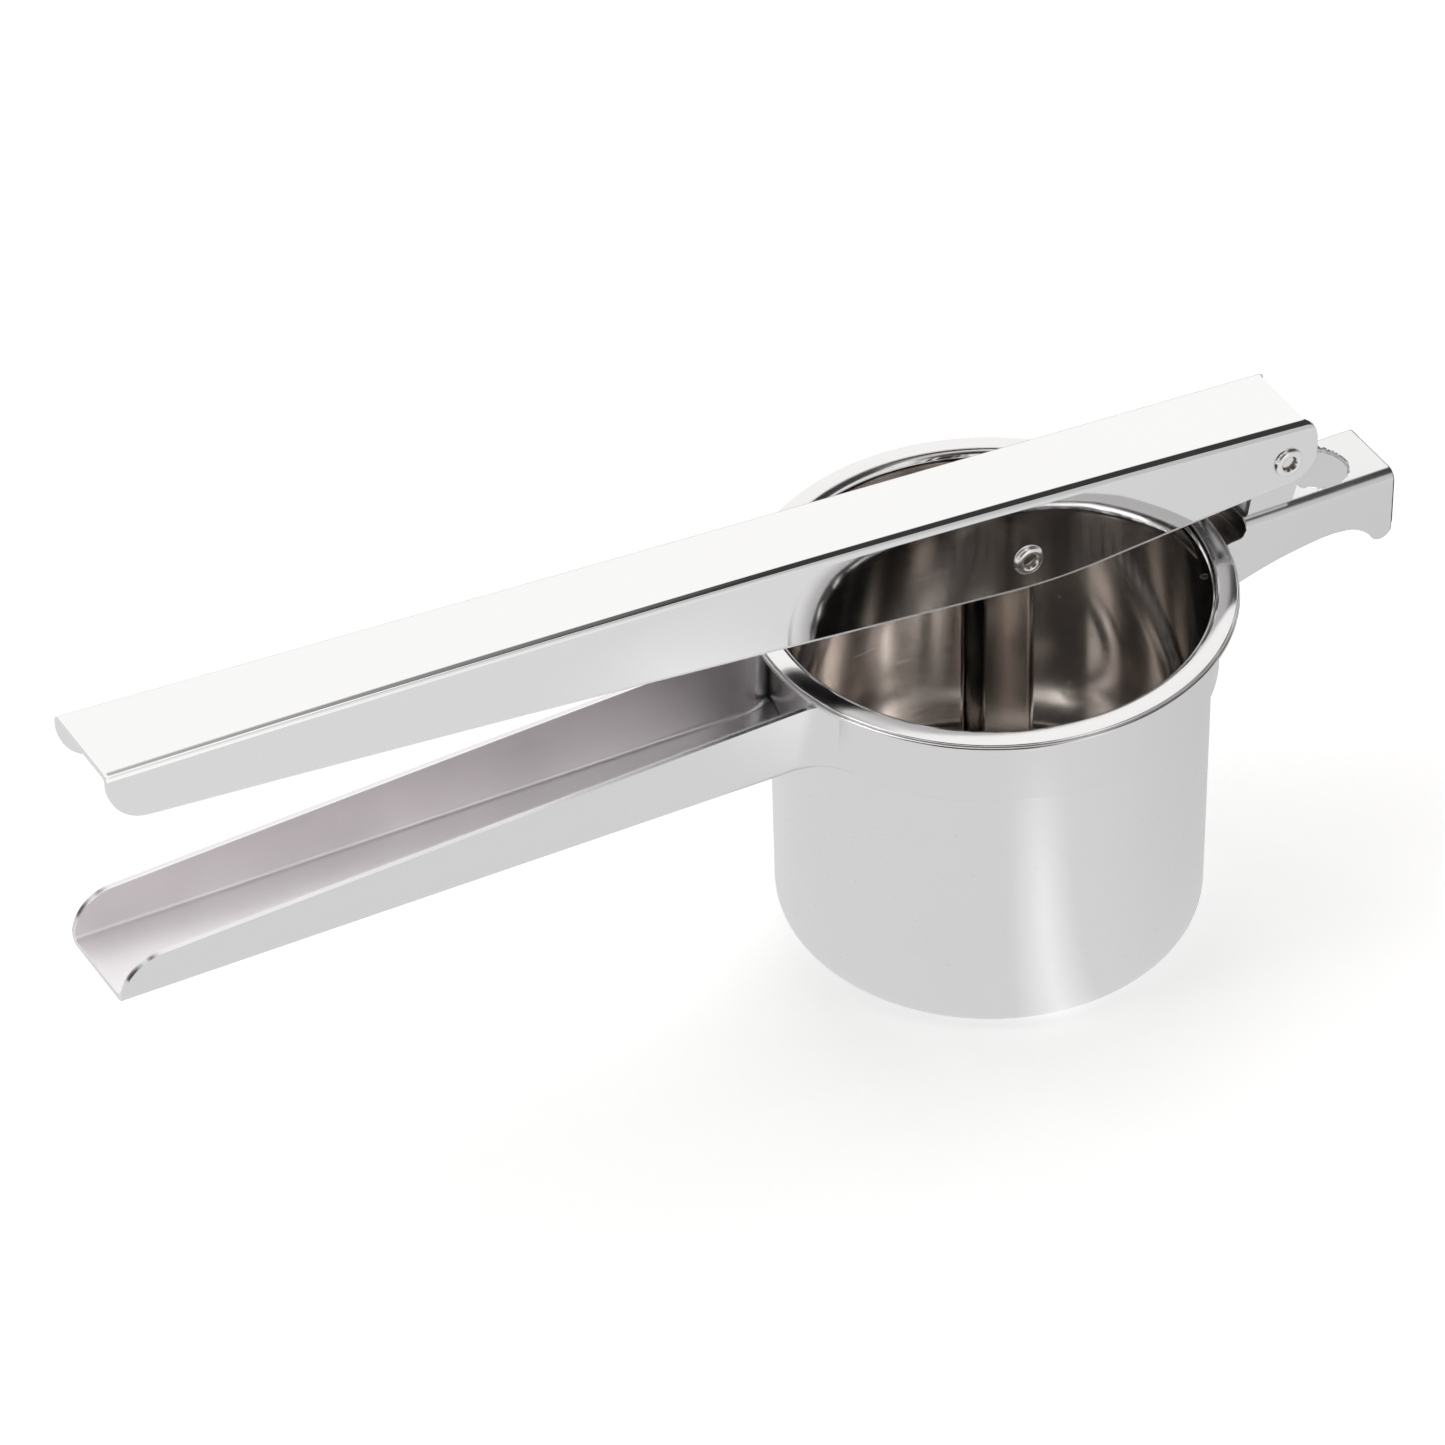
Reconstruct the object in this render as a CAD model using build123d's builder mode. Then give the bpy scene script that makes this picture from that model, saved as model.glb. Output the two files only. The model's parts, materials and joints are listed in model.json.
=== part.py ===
from build123d import *
import os

# Potato ricer, millimetres.  +Z is the basket's axis, z = 0 is the underside of the basket's
# floor, the two handles reach towards -X and the rear bracket with its hinge towards +X.

# ---- basket: a drawn cup with a perforated floor and a flat flange at its mouth
basket_height = 75.5
basket_wall = 0.8
basket_foot_radius = 41.8
basket_mouth_radius = 42.7
basket_corner_radius = 5.0
basket_flange_radius = 47.0
basket_flange_bend = 1.5
basket_edge_round = 0.35
sieve_hole_radius = 1.3
sieve_ring_pitch = 5.0
sieve_ring_count = 7

# ---- frame: collar round the basket, lower handle and rear bracket
collar_radius = 43.85
collar_sheet = 1.0
collar_foot_height = 58.4
collar_lip_radius = 47.5
collar_lip_bend = 2.6
collar_edge_round = 0.45
collar_top = basket_height - basket_wall
weld_gap = 0.02

sheet = 1.2
lower_end_x = -190.4
lower_half_width = 10.4
lower_draft = 4.8
lower_slope = 0.0377
lower_floor_height = 55.2
lower_wall_tops = ((-190.4, 71.7), (-120.0, 72.6), (-40.0, 73.1))
lower_root_x = -38.0
lower_end_round = 8.6
lower_bend = 2.2
lower_flare = 9.0

bracket_end_x = 86.0
bracket_front_x = 52.2
bracket_half_width = 8.46
bracket_slope = 0.034
bracket_height = 75.7
bracket_height_x = 61.5
bracket_bend = 2.2
bracket_flare = 9.0
bracket_shoulder_height = 72.4
bracket_root_x = 38.0
bracket_root_half_width = 13.2
bracket_under = ((38.0, 58.4), (44.0, 59.0), (51.5, 61.6), (60.2, 63.7), (70.4, 64.9), (75.6, 64.4))
bracket_hook = ((79.3, 62.6), (81.6, 59.9))
bracket_hook_tip = ((84.0, 59.3), (85.8, 61.8))
bracket_corner = 0.6
bracket_lip = 2.0
hang_hole_radius = 6.6
hang_hole_x = 73.0

# ---- upper handle: an inverted channel, slightly waisted, cambered along its top
upper_top = ((-190.5, 116.6), (-62.0, 106.8), (64.9, 95.6))
upper_half_widths = ((-190.5, 10.7), (-62.0, 9.0), (67.1, 9.7))
upper_bend = 1.8
upper_belly = (8.4, 79.5)
upper_left_low = (-190.5, 105.4)
upper_right_high = ((65.4, 93.6), (67.1, 92.6))
upper_heel_low = (67.1, 83.1)
upper_belly_radius = 110.0
upper_end_round = 9.0
upper_heel_round = 6.0

# ---- pins
pivot_x = 60.4
pivot_z = 88.0
plunger_pin_x = 2.84
plunger_pin_z = 87.1
rivet_radius = 2.2
rivet_head_radius = 3.15
rivet_head_height = 0.95
rivet_bore_radius = 1.25
rivet_bore_depth = 2.4
rivet_bore_lead = 0.35
rivet_crown_radius = 2.2
rivet_seat_gap = 0.01
running_clearance = 0.05

# ---- hinge lugs: a clevis on top of the bracket, inside the upper handle
lug_half_width = 8.0
lug_round = 5.6
lug_front_x = 52.4
lug_back_x = 62.4
lug_bend = 1.6

# ---- plunger
plate_radius = 37.5
plate_height = 2.0
plate_sheet = 1.2
plate_rim_height = 4.0
plate_bead_radius = 24.0
plate_bead_width = 3.0
plate_bead_height = 0.9
plate_bead_crown = 1.0
plate_bead_bend = 1.5
plate_rim_bend = 1.8
stem_front_x = -3.8
stem_back_x = 8.2
stem_half_depth = 4.8
stem_sheet = 1.0
stem_bend = 3.0
stem_top = plunger_pin_z + 5.6
stem_top_round = 4.5
foot_length = 9.0
foot_width = 9.0
foot_round = 1.5
foot_rivet_y = stem_half_depth + 4.6
foot_rivet_radius = 1.5
foot_rivet_head_radius = 2.6
foot_rivet_head_height = 1.1
foot_rivet_head_round = 0.9
foot_rivet_tail_height = 0.5
spacer_radius = 3.5
spacer_gap = 0.3
spacer_seat_gap = 0.02

plate_top = plate_height + plate_sheet
stem_middle_x = (stem_front_x + stem_back_x) / 2
foot_rivet_places = ((stem_middle_x, -foot_rivet_y), (stem_middle_x, foot_rivet_y))

# Lengths that only have to reach past the solids they cut.
reach = 130.0
deep = 60.0

os.makedirs("parts", exist_ok=True)


def bracket_top(x):
    """Height of the top of the rear bracket at x."""
    return bracket_height - bracket_slope * (x - bracket_height_x)


def flared_plan(x_end, half_width, flare_radius):
    """Plan of a strip that runs from x_end into the collar, with hollow fillets where they meet."""
    side = -1 if x_end < 0 else 1
    with BuildSketch() as plan:
        with Locations((x_end / 2, 0)):
            Rectangle(abs(x_end), 2 * half_width)
        Circle(collar_radius)
        corners = plan.vertices().sort_by(Axis.X, reverse=side > 0)
        fillet(corners[2:4], flare_radius)
    return plan.sketch


def rivet_profile(seat):
    """Half outline of a tubular rivet, radius against length, with its heads seated at +-seat."""
    top = seat + rivet_head_height
    mouth = seat + rivet_bore_lead
    floor = seat - rivet_bore_depth
    with BuildSketch() as profile:
        with BuildLine():
            l1 = Polyline((0, -floor), (rivet_bore_radius, -floor), (rivet_bore_radius, -mouth))
            l2 = ThreePointArc(l1 @ 1, (rivet_crown_radius, -top), (rivet_head_radius, -seat))
            l3 = Polyline(l2 @ 1, (rivet_radius, -seat), (rivet_radius, seat), (rivet_head_radius, seat))
            l4 = ThreePointArc(l3 @ 1, (rivet_crown_radius, top), (rivet_bore_radius, mouth))
            Polyline(l4 @ 1, (rivet_bore_radius, floor), (0, floor), (0, -floor))
        make_face()
    return profile.sketch


# The space that the collar and its lip fill, from the outside in.
with BuildPart() as collar_space:
    with BuildSketch(Plane.XZ):
        with BuildLine():
            line = FilletPolyline(
                (collar_radius + weld_gap, 0),
                (collar_radius + weld_gap, collar_top - collar_sheet - weld_gap),
                (collar_lip_radius + weld_gap, collar_top - collar_sheet - weld_gap),
                radius=collar_lip_bend,
            )
            Polyline(line @ 1, (collar_lip_radius + weld_gap, reach), (0, reach), (0, 0), line @ 0)
        make_face()
    revolve(axis=Axis.Z)

# ================================================================ basket
with BuildPart() as basket:
    with BuildSketch(Plane.XZ):
        with BuildLine():
            FilletPolyline(
                (0, 0),
                (basket_foot_radius, 0),
                (basket_mouth_radius, basket_height - basket_wall),
                (basket_flange_radius, basket_height - basket_wall),
                radius=[basket_corner_radius, basket_flange_bend - basket_wall],
            )
            offset(amount=basket_wall, side=Side.LEFT)
        make_face()
    revolve(axis=Axis.Z)
    with BuildSketch():
        for ring in range(1, sieve_ring_count + 1):
            with PolarLocations(sieve_ring_pitch * ring, 6 * ring):
                Circle(sieve_hole_radius)
    extrude(amount=2 * basket_wall, mode=Mode.SUBTRACT)
    mouth_edges = basket.edges().filter_by(GeomType.CIRCLE).filter_by(
        lambda e: e.radius > basket_flange_radius - 1
    )
    fillet(mouth_edges, basket_edge_round)

# ================================================================ collar
with BuildPart() as collar:
    with BuildSketch(Plane.XZ):
        with BuildLine():
            FilletPolyline(
                (collar_radius, collar_foot_height),
                (collar_radius, collar_top - collar_sheet),
                (collar_lip_radius, collar_top - collar_sheet),
                radius=collar_lip_bend,
            )
            offset(amount=collar_sheet, side=Side.LEFT)
        make_face()
    revolve(axis=Axis.Z)
    lip_edges = collar.edges().filter_by(GeomType.CIRCLE).filter_by(
        lambda e: e.radius > collar_lip_radius - 0.5
    )
    fillet(lip_edges, collar_edge_round)

# ================================================================ lower handle
lower_plane = Plane(
    origin=(0, 0, lower_floor_height), x_dir=(1, 0, -lower_slope), z_dir=(lower_slope, 0, 1)
)
with BuildPart() as lower_handle:
    with BuildSketch(lower_plane):
        add(flared_plan(lower_end_x - sheet, lower_half_width, lower_flare))
    extrude(amount=deep / 2, taper=-lower_draft)
    floor_face = lower_handle.faces().sort_by(Axis.Z)[0]
    fillet(floor_face.edges().filter_by(lambda e: abs(e.center().Y) > 1), lower_bend)
    with BuildSketch(Plane.XZ) as side:
        with BuildLine():
            rim = ThreePointArc(*lower_wall_tops)
            Polyline(rim @ 1, (lower_root_x, 0), (lower_end_x, 0), rim @ 0)
        make_face()
        fillet(side.vertices().sort_by_distance(lower_wall_tops[0])[0], lower_end_round)
    extrude(amount=deep, both=True, mode=Mode.INTERSECT)
    with BuildSketch(lower_plane.offset(sheet)):
        add(flared_plan(lower_end_x - deep, lower_half_width - sheet, lower_flare + sheet))
    extrude(amount=deep / 2, taper=-lower_draft, mode=Mode.SUBTRACT)
    add(collar_space.part, mode=Mode.SUBTRACT)

# ================================================================ rear bracket
bracket_plane = Plane(
    origin=(hang_hole_x, 0, bracket_top(hang_hole_x)),
    x_dir=(1, 0, -bracket_slope),
    z_dir=(bracket_slope, 0, 1),
)
with BuildPart() as rear_bracket:
    with BuildSketch(Plane.XY.offset(collar_foot_height - deep / 2)):
        add(flared_plan(bracket_end_x, bracket_half_width, bracket_flare))
    extrude(amount=deep)
    with BuildSketch(Plane.XZ):
        with BuildLine():
            under = Spline(*bracket_under)
            hook = ThreePointArc(under @ 1, *bracket_hook)
            tip = ThreePointArc(hook @ 1, *bracket_hook_tip)
            Polyline(
                tip @ 1,
                (bracket_end_x, bracket_top(bracket_end_x) - bracket_lip),
                (bracket_end_x - bracket_corner, bracket_top(bracket_end_x - bracket_corner)),
                (bracket_front_x + bracket_corner, bracket_top(bracket_front_x + bracket_corner)),
                (bracket_front_x - bracket_corner, bracket_shoulder_height),
                (bracket_root_x, bracket_shoulder_height),
                under @ 0,
            )
        make_face()
    extrude(amount=bracket_root_half_width, both=True, mode=Mode.INTERSECT)
    top_face = rear_bracket.faces().filter_by(lambda f: f.normal_at().Z > 0.99).sort_by(Axis.Z)[-1]
    fillet(top_face.edges().filter_by(lambda e: abs(e.center().Y) > 1), bracket_bend)
    with BuildSketch(bracket_plane.offset(-sheet)):
        with Locations((-hang_hole_x, 0)):
            add(flared_plan(bracket_end_x + sheet, bracket_half_width - sheet, bracket_flare + sheet))
    extrude(amount=-deep, mode=Mode.SUBTRACT)
    with BuildSketch(bracket_plane):
        Circle(hang_hole_radius)
    extrude(amount=deep / 2, both=True, mode=Mode.SUBTRACT)
    add(collar_space.part, mode=Mode.SUBTRACT)

# ================================================================ hinge lugs
with BuildPart() as hinge_lugs:
    with BuildSketch(Plane.XZ):
        with BuildLine():
            Polyline(
                (lug_front_x, bracket_top(lug_front_x)),
                (lug_back_x, bracket_top(lug_back_x)),
                (pivot_x + lug_round, pivot_z),
                (pivot_x - lug_round, pivot_z),
                (lug_front_x, bracket_top(lug_front_x)),
            )
        make_face()
        with Locations((pivot_x, pivot_z)):
            Circle(lug_round)
    extrude(amount=lug_half_width, both=True)
    foot_edges = hinge_lugs.faces().sort_by(Axis.Z)[0].edges().filter_by(
        lambda e: abs(e.center().Y) > 1
    )
    fillet(foot_edges, lug_bend)
    with BuildSketch(Plane.XZ):
        with BuildLine():
            Polyline(
                (0, bracket_top(0) + sheet),
                (reach, bracket_top(reach) + sheet),
                (reach, reach),
                (0, reach),
                close=True,
            )
        make_face()
    extrude(amount=lug_half_width - sheet, both=True, mode=Mode.SUBTRACT)
    with BuildSketch(Plane.XZ):
        with Locations((pivot_x, pivot_z)):
            Circle(rivet_radius + running_clearance)
    extrude(amount=deep, both=True, mode=Mode.SUBTRACT)


# ================================================================ upper handle
def upper_half_width(x):
    """Half the upper handle's width at x, on the parabola through its three given widths."""
    total = 0.0
    for x_here, width in upper_half_widths:
        others = [x_other for x_other, _ in upper_half_widths if x_other != x_here]
        total += width * (x - others[0]) * (x - others[1]) / ((x_here - others[0]) * (x_here - others[1]))
    return total


def upper_plan(inset, overrun):
    """Waisted plan of the upper handle, drawn in by inset and run past its ends by overrun."""
    left, waist, right = upper_half_widths
    x_left = left[0] - overrun
    x_right = right[0] + overrun
    with BuildSketch() as plan:
        with BuildLine():
            far = ThreePointArc(
                (x_left, left[1] - inset), (waist[0], waist[1] - inset), (x_right, right[1] - inset)
            )
            near = ThreePointArc(
                (x_right, inset - right[1]), (waist[0], inset - waist[1]), (x_left, inset - left[1])
            )
            Line(far @ 1, near @ 0)
            Line(near @ 1, far @ 0)
        make_face()
    return plan.sketch


# The hollow of the channel, a sheet's thickness inside the handle and open below and at both ends.
with BuildPart() as upper_channel:
    with BuildSketch():
        add(upper_plan(sheet, sheet))
    extrude(amount=reach)
    with BuildSketch(Plane.XZ):
        with BuildLine():
            (left_x, left_z), (middle_x, middle_z), (right_x, right_z) = upper_top
            ceiling = ThreePointArc(
                (left_x - sheet, left_z - sheet), (middle_x, middle_z - sheet), (right_x, right_z - sheet)
            )
            Polyline(ceiling @ 1, (right_x + deep, right_z - sheet), (right_x + deep, 0))
            Polyline((right_x + deep, 0), (left_x - sheet, 0), ceiling @ 0)
        make_face()
    extrude(amount=deep, both=True, mode=Mode.INTERSECT)

with BuildPart() as upper_handle:
    with BuildSketch():
        add(upper_plan(0, 0))
    extrude(amount=reach)
    with BuildSketch(Plane.XZ) as side:
        with BuildLine():
            top_line = ThreePointArc(*upper_top)
            Polyline(
                top_line @ 1,
                *upper_right_high,
                upper_heel_low,
                upper_belly,
                upper_left_low,
                top_line @ 0,
            )
        make_face()
        fillet(side.vertices().sort_by_distance(upper_left_low)[0], upper_end_round)
        fillet(side.vertices().sort_by_distance(upper_belly)[0], upper_belly_radius)
        fillet(side.vertices().sort_by_distance(upper_heel_low)[0], upper_heel_round)
    extrude(amount=deep, both=True, mode=Mode.INTERSECT)
    top_bends = upper_handle.faces().sort_by(Axis.Z)[-1].edges().filter_by(
        lambda e: abs(e.center().Y) > 1
    )
    fillet(top_bends, upper_bend)
    add(upper_channel.part, mode=Mode.SUBTRACT)
    for pin_x, pin_z in ((pivot_x, pivot_z), (plunger_pin_x, plunger_pin_z)):
        with BuildSketch(Plane.XZ):
            with Locations((pin_x, pin_z)):
                Circle(rivet_radius)
        extrude(amount=deep, both=True, mode=Mode.SUBTRACT)


# ================================================================ rivets through the upper handle
def rivet(pin_x, pin_z, seat):
    """A tubular rivet along Y, its heads seated on walls that are 2 * seat apart."""
    with BuildPart() as body:
        with BuildSketch(Plane.XY):
            add(rivet_profile(seat))
        revolve(axis=Axis.Y)
    return body.part.moved(Location((pin_x, 0, pin_z)))


pivot_seat = upper_half_width(pivot_x + rivet_head_radius) + rivet_seat_gap
plunger_seat = upper_half_width(plunger_pin_x + rivet_head_radius) + rivet_seat_gap

with BuildPart() as pivot_rivet:
    add(rivet(pivot_x, pivot_z, pivot_seat))

with BuildPart() as plunger_rivet:
    add(rivet(plunger_pin_x, plunger_pin_z, plunger_seat))

with BuildPart() as plunger_spacers:
    spacer_start = stem_half_depth + spacer_gap
    spacer_end = upper_half_width(plunger_pin_x - spacer_radius) - sheet - spacer_seat_gap
    for side_sign in (-1, 1):
        with BuildSketch(Plane.XZ.offset(side_sign * spacer_start)):
            with Locations((plunger_pin_x, plunger_pin_z)):
                Circle(spacer_radius)
                Circle(rivet_radius, mode=Mode.SUBTRACT)
        extrude(amount=side_sign * (spacer_end - spacer_start))

# ================================================================ plunger
with BuildPart() as plunger_plate:
    with BuildSketch(Plane.XZ):
        with BuildLine():
            FilletPolyline(
                (0, plate_height),
                (plate_bead_radius - plate_bead_width, plate_height),
                (plate_bead_radius - plate_bead_crown, plate_height + plate_bead_height),
                (plate_bead_radius + plate_bead_crown, plate_height + plate_bead_height),
                (plate_bead_radius + plate_bead_width, plate_height),
                (plate_radius, plate_height),
                (plate_radius, plate_height + plate_rim_height),
                radius=[plate_bead_bend] * 4 + [plate_rim_bend],
            )
            offset(amount=plate_sheet, side=Side.LEFT)
        make_face()
    revolve(axis=Axis.Z)
    with BuildSketch():
        with Locations(*foot_rivet_places):
            Circle(foot_rivet_radius)
    extrude(amount=plate_top + plate_sheet, mode=Mode.SUBTRACT)

with BuildPart() as plunger_stem:
    with BuildSketch(Plane.XY.offset(plate_top)):
        with BuildLine():
            FilletPolyline(
                (stem_front_x, -stem_half_depth),
                (stem_back_x, -stem_half_depth),
                (stem_back_x, stem_half_depth),
                (stem_front_x, stem_half_depth),
                radius=stem_bend,
            )
            offset(amount=stem_sheet, side=Side.LEFT)
        make_face()
    extrude(amount=stem_top - plate_top)
    with BuildSketch(Plane.XZ) as stem_side:
        with BuildLine():
            Polyline(
                (stem_front_x, 0), (stem_back_x, 0), (stem_back_x, stem_top), (stem_front_x, stem_top),
                close=True,
            )
        make_face()
        fillet(stem_side.vertices().group_by(Axis.Y)[-1], stem_top_round)
    extrude(amount=deep, both=True, mode=Mode.INTERSECT)
    with BuildSketch(Plane.XY.offset(plate_top)):
        for side_sign in (-1, 1):
            with Locations((stem_middle_x, side_sign * (stem_half_depth - stem_sheet + foot_length / 2))):
                RectangleRounded(foot_width, foot_length, foot_round)
        with Locations(*foot_rivet_places):
            Circle(foot_rivet_radius, mode=Mode.SUBTRACT)
    extrude(amount=stem_sheet)
    with BuildSketch(Plane.XZ):
        with Locations((plunger_pin_x, plunger_pin_z)):
            Circle(rivet_radius + running_clearance)
    extrude(amount=deep, both=True, mode=Mode.SUBTRACT)

# ================================================================ rivets that hold the stem's feet
with BuildPart() as plate_rivets:
    foot_top = plate_top + stem_sheet
    for start, length, radius in (
        (plate_height - foot_rivet_tail_height, foot_rivet_tail_height, foot_rivet_head_radius),
        (plate_height, foot_top - plate_height, foot_rivet_radius),
        (foot_top, foot_rivet_head_height, foot_rivet_head_radius),
    ):
        with BuildSketch(Plane.XY.offset(start)):
            with Locations(*foot_rivet_places):
                Circle(radius)
        extrude(amount=length)
    fillet(plate_rivets.edges().group_by(Axis.Z)[-1], foot_rivet_head_round)

# ================================================================ labels and files
pieces = {
    "basket": basket,
    "collar": collar,
    "lower_handle": lower_handle,
    "rear_bracket": rear_bracket,
    "hinge_lugs": hinge_lugs,
    "upper_handle": upper_handle,
    "pivot_rivet": pivot_rivet,
    "plunger_rivet": plunger_rivet,
    "plunger_spacers": plunger_spacers,
    "plunger_stem": plunger_stem,
    "plunger_plate": plunger_plate,
    "plate_rivets": plate_rivets,
}
for label, piece in pieces.items():
    piece.part.label = label
    export_step(piece.part, f"parts/{label}.step")
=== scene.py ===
import json
import math

import bmesh
import bpy
from mathutils import Matrix, Vector


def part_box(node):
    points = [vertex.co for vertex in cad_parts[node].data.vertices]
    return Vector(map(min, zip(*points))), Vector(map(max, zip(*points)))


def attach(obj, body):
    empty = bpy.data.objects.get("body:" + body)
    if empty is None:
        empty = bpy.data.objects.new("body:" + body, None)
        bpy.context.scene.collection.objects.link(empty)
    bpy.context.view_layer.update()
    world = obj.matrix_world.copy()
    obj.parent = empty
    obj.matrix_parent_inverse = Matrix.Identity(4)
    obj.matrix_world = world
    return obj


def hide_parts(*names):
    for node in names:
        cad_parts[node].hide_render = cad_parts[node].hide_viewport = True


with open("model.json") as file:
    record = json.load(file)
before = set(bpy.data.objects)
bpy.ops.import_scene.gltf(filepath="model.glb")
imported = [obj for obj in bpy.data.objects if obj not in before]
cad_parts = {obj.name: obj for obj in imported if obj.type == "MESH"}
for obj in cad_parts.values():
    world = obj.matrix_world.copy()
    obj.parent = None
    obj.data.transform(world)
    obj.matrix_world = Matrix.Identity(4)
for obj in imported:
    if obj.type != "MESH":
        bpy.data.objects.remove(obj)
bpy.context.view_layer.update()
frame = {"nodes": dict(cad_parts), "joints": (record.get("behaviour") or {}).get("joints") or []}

# Lengths are millimetres until a mesh is finished, which scales it to metres.
MM = 0.001


def box_mm(node):
    """Lowest and highest corners of a CAD node, in millimetres."""
    low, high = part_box(node)
    return [v / MM for v in low], [v / MM for v in high]


basket_high = box_mm("basket")[1]
collar_low, collar_high = box_mm("collar")
upper_low, upper_high = box_mm("upper_handle")
lower_low = box_mm("lower_handle")[0]
bracket_high = box_mm("rear_bracket")[1]
stem_low, stem_high = box_mm("plunger_stem")
plate_low, plate_high = box_mm("plunger_plate")
joints = {joint["name"]: joint for joint in frame["joints"]}
pivot = [v / MM for v in joints["handle_pivot"]["pos_m"]]
plunger_pin = [v / MM for v in joints["plunger_swing"]["pos_m"]]


# ======================== sizes
turns = 256
sheet = 1.2
wall_rows = 6

basket_wall = 0.8
basket_foot_radius = 41.8
basket_mouth_radius = 42.7
basket_corner = 5.0
basket_floor_radius = basket_foot_radius - basket_corner
basket_top = basket_high[2]
flange_radius = basket_high[0]
flange_bend = 1.8
flange_fall = 0.3
flange_crown_radius = 44.6
flange_crown_round = 14.0
flange_edge_round = 0.25
sieve_hole_radius = 1.3
sieve_hole_lip = 0.15
sieve_hole_steps = 20
sieve_ring_pitch = 5.0
sieve_ring_count = 7

collar_radius = 43.85
collar_sheet = 1.0
collar_foot = collar_low[2]
collar_top = collar_high[2]
collar_lip_radius = collar_high[0]
collar_lip_bend = 2.6

# The lower handle and the bracket flare out to the collar and end a little inside its outer face.
flare_radius = 9.0
collar_bury = 0.45

# Outlines are (x, z) seen from the front, and half widths are (x, y). Three points make a parabola.
upper_left = upper_low[0] + 0.1
upper_web_end = 64.9
upper_right = upper_high[0]
upper_top_points = ((-190.5, 116.6), (-62.0, 106.8), (64.9, 95.6))
upper_half_widths = ((-190.5, 10.7), (-62.0, 9.0), (67.1, 9.7))
upper_under = [(upper_left, 114.0), (upper_left, 105.7), (8.4, 79.5)]
upper_under += [(upper_right, 83.1), (upper_right, 92.0)]
upper_under_radii = [0, 9.2, 110.0, 6.0, 0]
upper_corner_steps = 10
upper_bend = 1.9
upper_edge_round = 0.45
upper_edge_line = 0.36

lower_half_width = 10.4
lower_draft = math.radians(4.8)
lower_slope = 0.0377
lower_floor_height = 55.2
lower_rim_points = ((-190.4, 71.7), (-120.0, 72.6), (-40.0, 73.1))
lower_end_round = 8.6
lower_bend = 2.2
lower_setback = lower_bend * math.tan((math.pi / 2 - lower_draft) / 2)
lower_edge_round = 0.25
lower_bend_steps = 6
lower_wall_steps = 5
lower_floor_steps = 8

bracket_half_width = 8.46
bracket_slope = 0.034
bracket_bend = 2.2
bracket_inner = bracket_half_width - bracket_bend
bracket_edge_round = 0.28
bracket_shoulder = 72.4
bracket_shoulder_steps = ((50.9, bracket_shoulder), (51.55, 72.75))
bracket_front = 52.2
bracket_under_knots = [(38.0, 58.4), (44.0, 59.0), (51.5, 61.6), (60.2, 63.7), (70.4, 64.9), (75.6, 64.4)]
hook_dip = ((75.6, 64.4), (79.3, 62.6), (81.6, 59.9))
hook_tip = ((81.6, 59.9), (84.0, 59.3), (85.8, 61.8))
hang_hole_radius = 6.6
hang_hole_x = 73.0

rivet_seat_depth = 0.95
rivet_shank_radius = 2.15
rivet_recess_radius = 1.5

plate_sheet = 1.2
plate_bead_radius = 24.0
plate_bead_half_width = 3.0
plate_bead_half_top = 1.0
plate_bead_height = 0.9

stem_half_depth = 4.8
stem_sheet = 1.0
stem_bend = 3.0
stem_top_round = 4.5
stem_height_steps = 24
stem_edge_round = 0.25
stem_hole_radius = 2.3
foot_length = 9.0
foot_width = 9.0


# ======================== outlines
def arc_points(centre, radius, start, end, steps):
    """Points on a circular arc between two angles in degrees."""
    points = []
    for k in range(steps + 1):
        angle = math.radians(start + (end - start) * k / steps)
        points.append((centre[0] + radius * math.cos(angle), centre[1] + radius * math.sin(angle)))
    return points


def rounded(points, radii, closed=False, steps=8):
    """Outline through 2-D points with each corner replaced by an arc of the given radius."""
    count = len(points)
    result = []
    for k, (point, radius) in enumerate(zip(points, radii)):
        here = Vector(point)
        if radius == 0 or (not closed and k in (0, count - 1)):
            result.append(tuple(here))
            continue
        to_last = (Vector(points[k - 1]) - here).normalized()
        to_next = (Vector(points[(k + 1) % count]) - here).normalized()
        half = to_last.angle(to_next) / 2
        centre = here + (to_last + to_next).normalized() * radius / math.sin(half)
        first = here + to_last * radius / math.tan(half) - centre
        turn = first.angle_signed(here + to_next * radius / math.tan(half) - centre)
        for i in range(steps + 1):
            spin = -turn * i / steps
            cos, sin = math.cos(spin), math.sin(spin)
            x = centre.x + first.x * cos - first.y * sin
            y = centre.y + first.x * sin + first.y * cos
            result.append((x, y))
    return result


def circle_through(a, b, c, steps):
    """Points of the arc from a through b to c."""
    ax, ay = a
    bx, by = b
    cx, cy = c
    d = 2 * (ax * (by - cy) + bx * (cy - ay) + cx * (ay - by))
    ux = ((ax**2 + ay**2) * (by - cy) + (bx**2 + by**2) * (cy - ay) + (cx**2 + cy**2) * (ay - by)) / d
    uy = ((ax**2 + ay**2) * (cx - bx) + (bx**2 + by**2) * (ax - cx) + (cx**2 + cy**2) * (bx - ax)) / d
    angles = [math.atan2(p[1] - uy, p[0] - ux) for p in (a, b, c)]
    sweep = (angles[2] - angles[0]) % (2 * math.pi)
    if (angles[1] - angles[0]) % (2 * math.pi) > sweep:
        sweep -= 2 * math.pi
    radius = math.hypot(ax - ux, ay - uy)
    points = []
    for k in range(steps + 1):
        angle = angles[0] + sweep * k / steps
        points.append((ux + radius * math.cos(angle), uy + radius * math.sin(angle)))
    return points


def height_on(outline, x):
    """Height of an outline that runs from left to right, at x."""
    for (x0, z0), (x1, z1) in zip(outline, outline[1:]):
        if x0 <= x <= x1 and x1 > x0:
            return z0 + (z1 - z0) * (x - x0) / (x1 - x0)
    return outline[-1][1] if x > outline[-1][0] else outline[0][1]


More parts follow.
